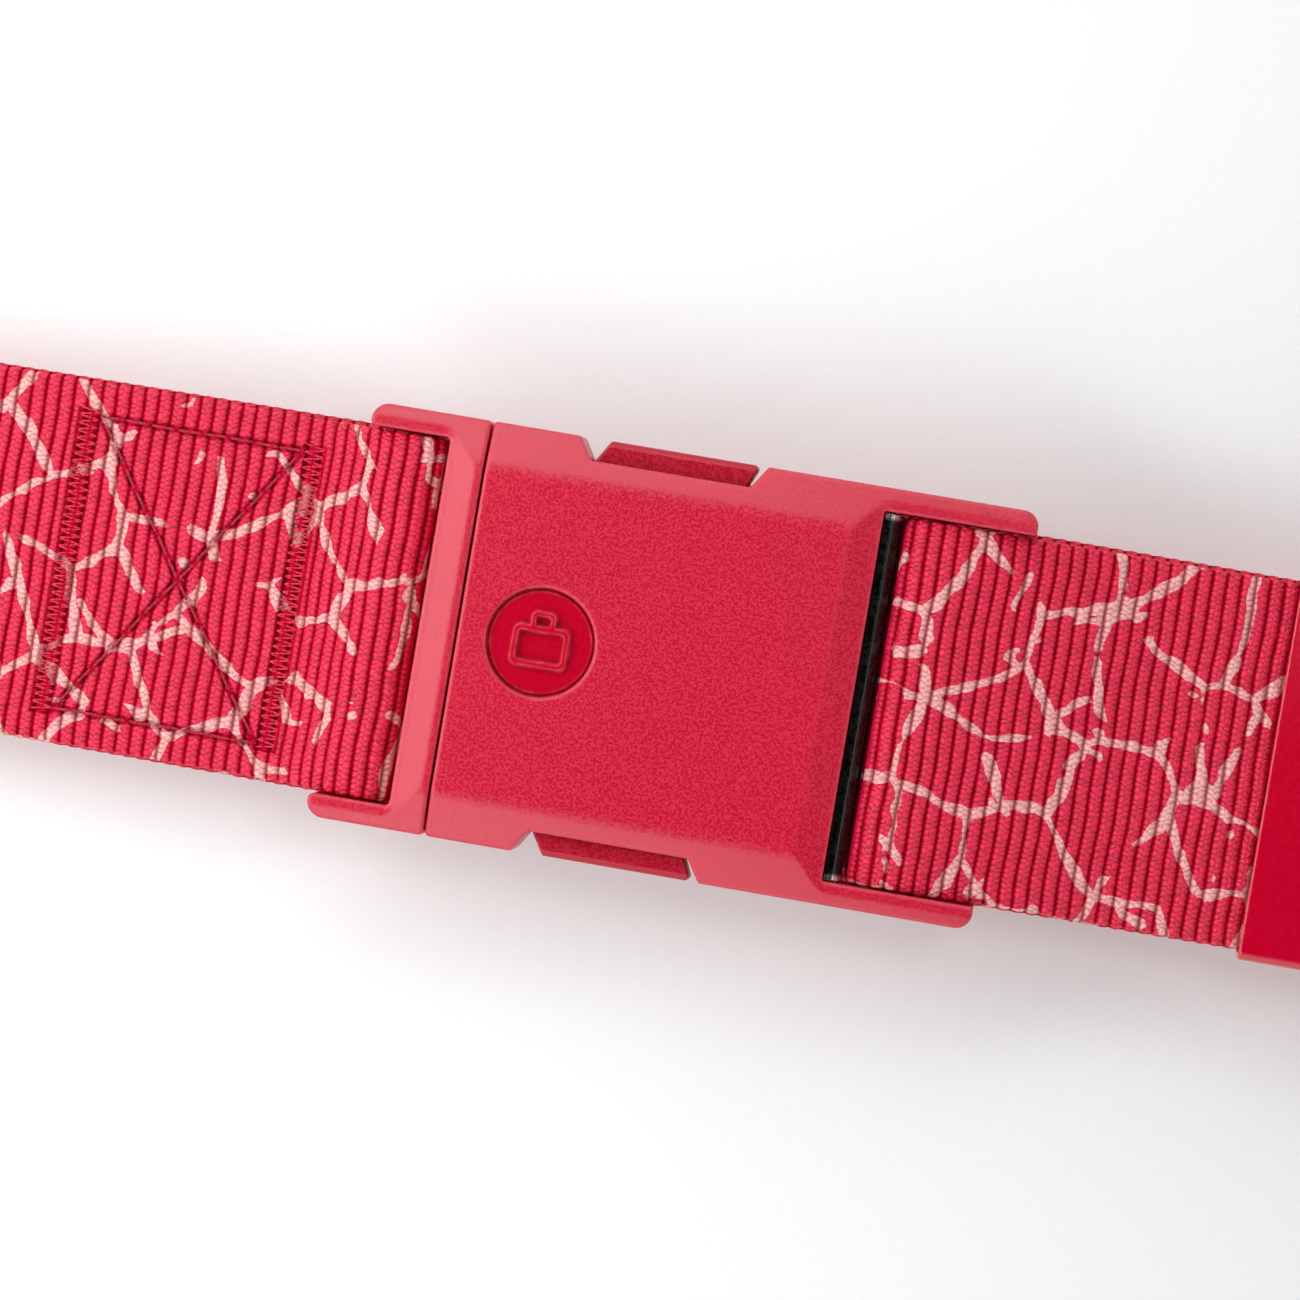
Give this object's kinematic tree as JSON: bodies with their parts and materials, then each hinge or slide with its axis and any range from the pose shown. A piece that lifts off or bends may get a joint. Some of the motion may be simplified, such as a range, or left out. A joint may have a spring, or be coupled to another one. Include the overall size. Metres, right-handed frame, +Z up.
{
  "type": "luggage strap",
  "caption": "Adjustable luggage strap of ribbed printed webbing with a side-release buckle, lock bar and sliding keeper, buckled and folded flat.",
  "frame": {"origin": "on the table, under the middle of the folded strap and of the buckle", "axes": "+X along the strap from the plug half towards the adjuster, +Y across the webbing, +Z up from the table towards the printed side"},
  "size_m": [0.304, 0.057, 0.022],
  "materials": {
    "webbing": "ribbed polyester webbing with a pale pink broken-line print",
    "thread": "dark crimson sewing thread",
    "buckle_plastic": "finely textured red moulded plastic with a faint sparkle",
    "badge_plastic": "smooth red",
    "lock_steel": "glossy black",
    "keeper_plastic": "smooth glossy red"
  },
  "bodies": {
    "socket": {"buckle_body": "buckle_plastic", "badge": "badge_plastic", "webbing_folds": "webbing", "webbing_tail": "webbing"},
    "plug": {"plug_frame": "buckle_plastic", "webbing_sewn_end": "webbing", "box_stitch": "thread", "cross_stitch": "thread", "bar_tack_outer": "thread", "bar_tack_inner": "thread"},
    "arm_back": {"latch_arm_back": "buckle_plastic"},
    "arm_front": {"latch_arm_front": "buckle_plastic"},
    "lock": {"lock_bar": "lock_steel"},
    "keeper": {"keeper": "keeper_plastic"}
  },
  "joints": [
    {"name": "plug_pull", "type": "slide", "parent": "socket", "child": "plug", "axis": [-1, 0, 0], "range_m": [0, 0.045], "deforming": ["latch_arm_back", "latch_arm_front"]},
    {"name": "latch_back_press", "type": "hinge", "parent": "plug", "child": "arm_back", "pos_m": [-0.03163, 0.0175, 0.01625], "axis": [0, 0, -1], "range_deg": [0, 10], "stiffness_Nm_per_rad": 1},
    {"name": "latch_front_press", "type": "hinge", "parent": "plug", "child": "arm_front", "pos_m": [-0.03163, -0.0175, 0.01625], "axis": [0, 0, 1], "range_deg": [0, 10], "stiffness_Nm_per_rad": 1},
    {"name": "lock_bar_lift", "type": "slide", "parent": "socket", "child": "lock", "axis": [0, 0, 1], "range_m": [0, 0.001]},
    {"name": "keeper_slide", "type": "slide", "parent": "socket", "child": "keeper", "axis": [1, 0, 0], "range_m": [-0.018, 0.018]}
  ]
}
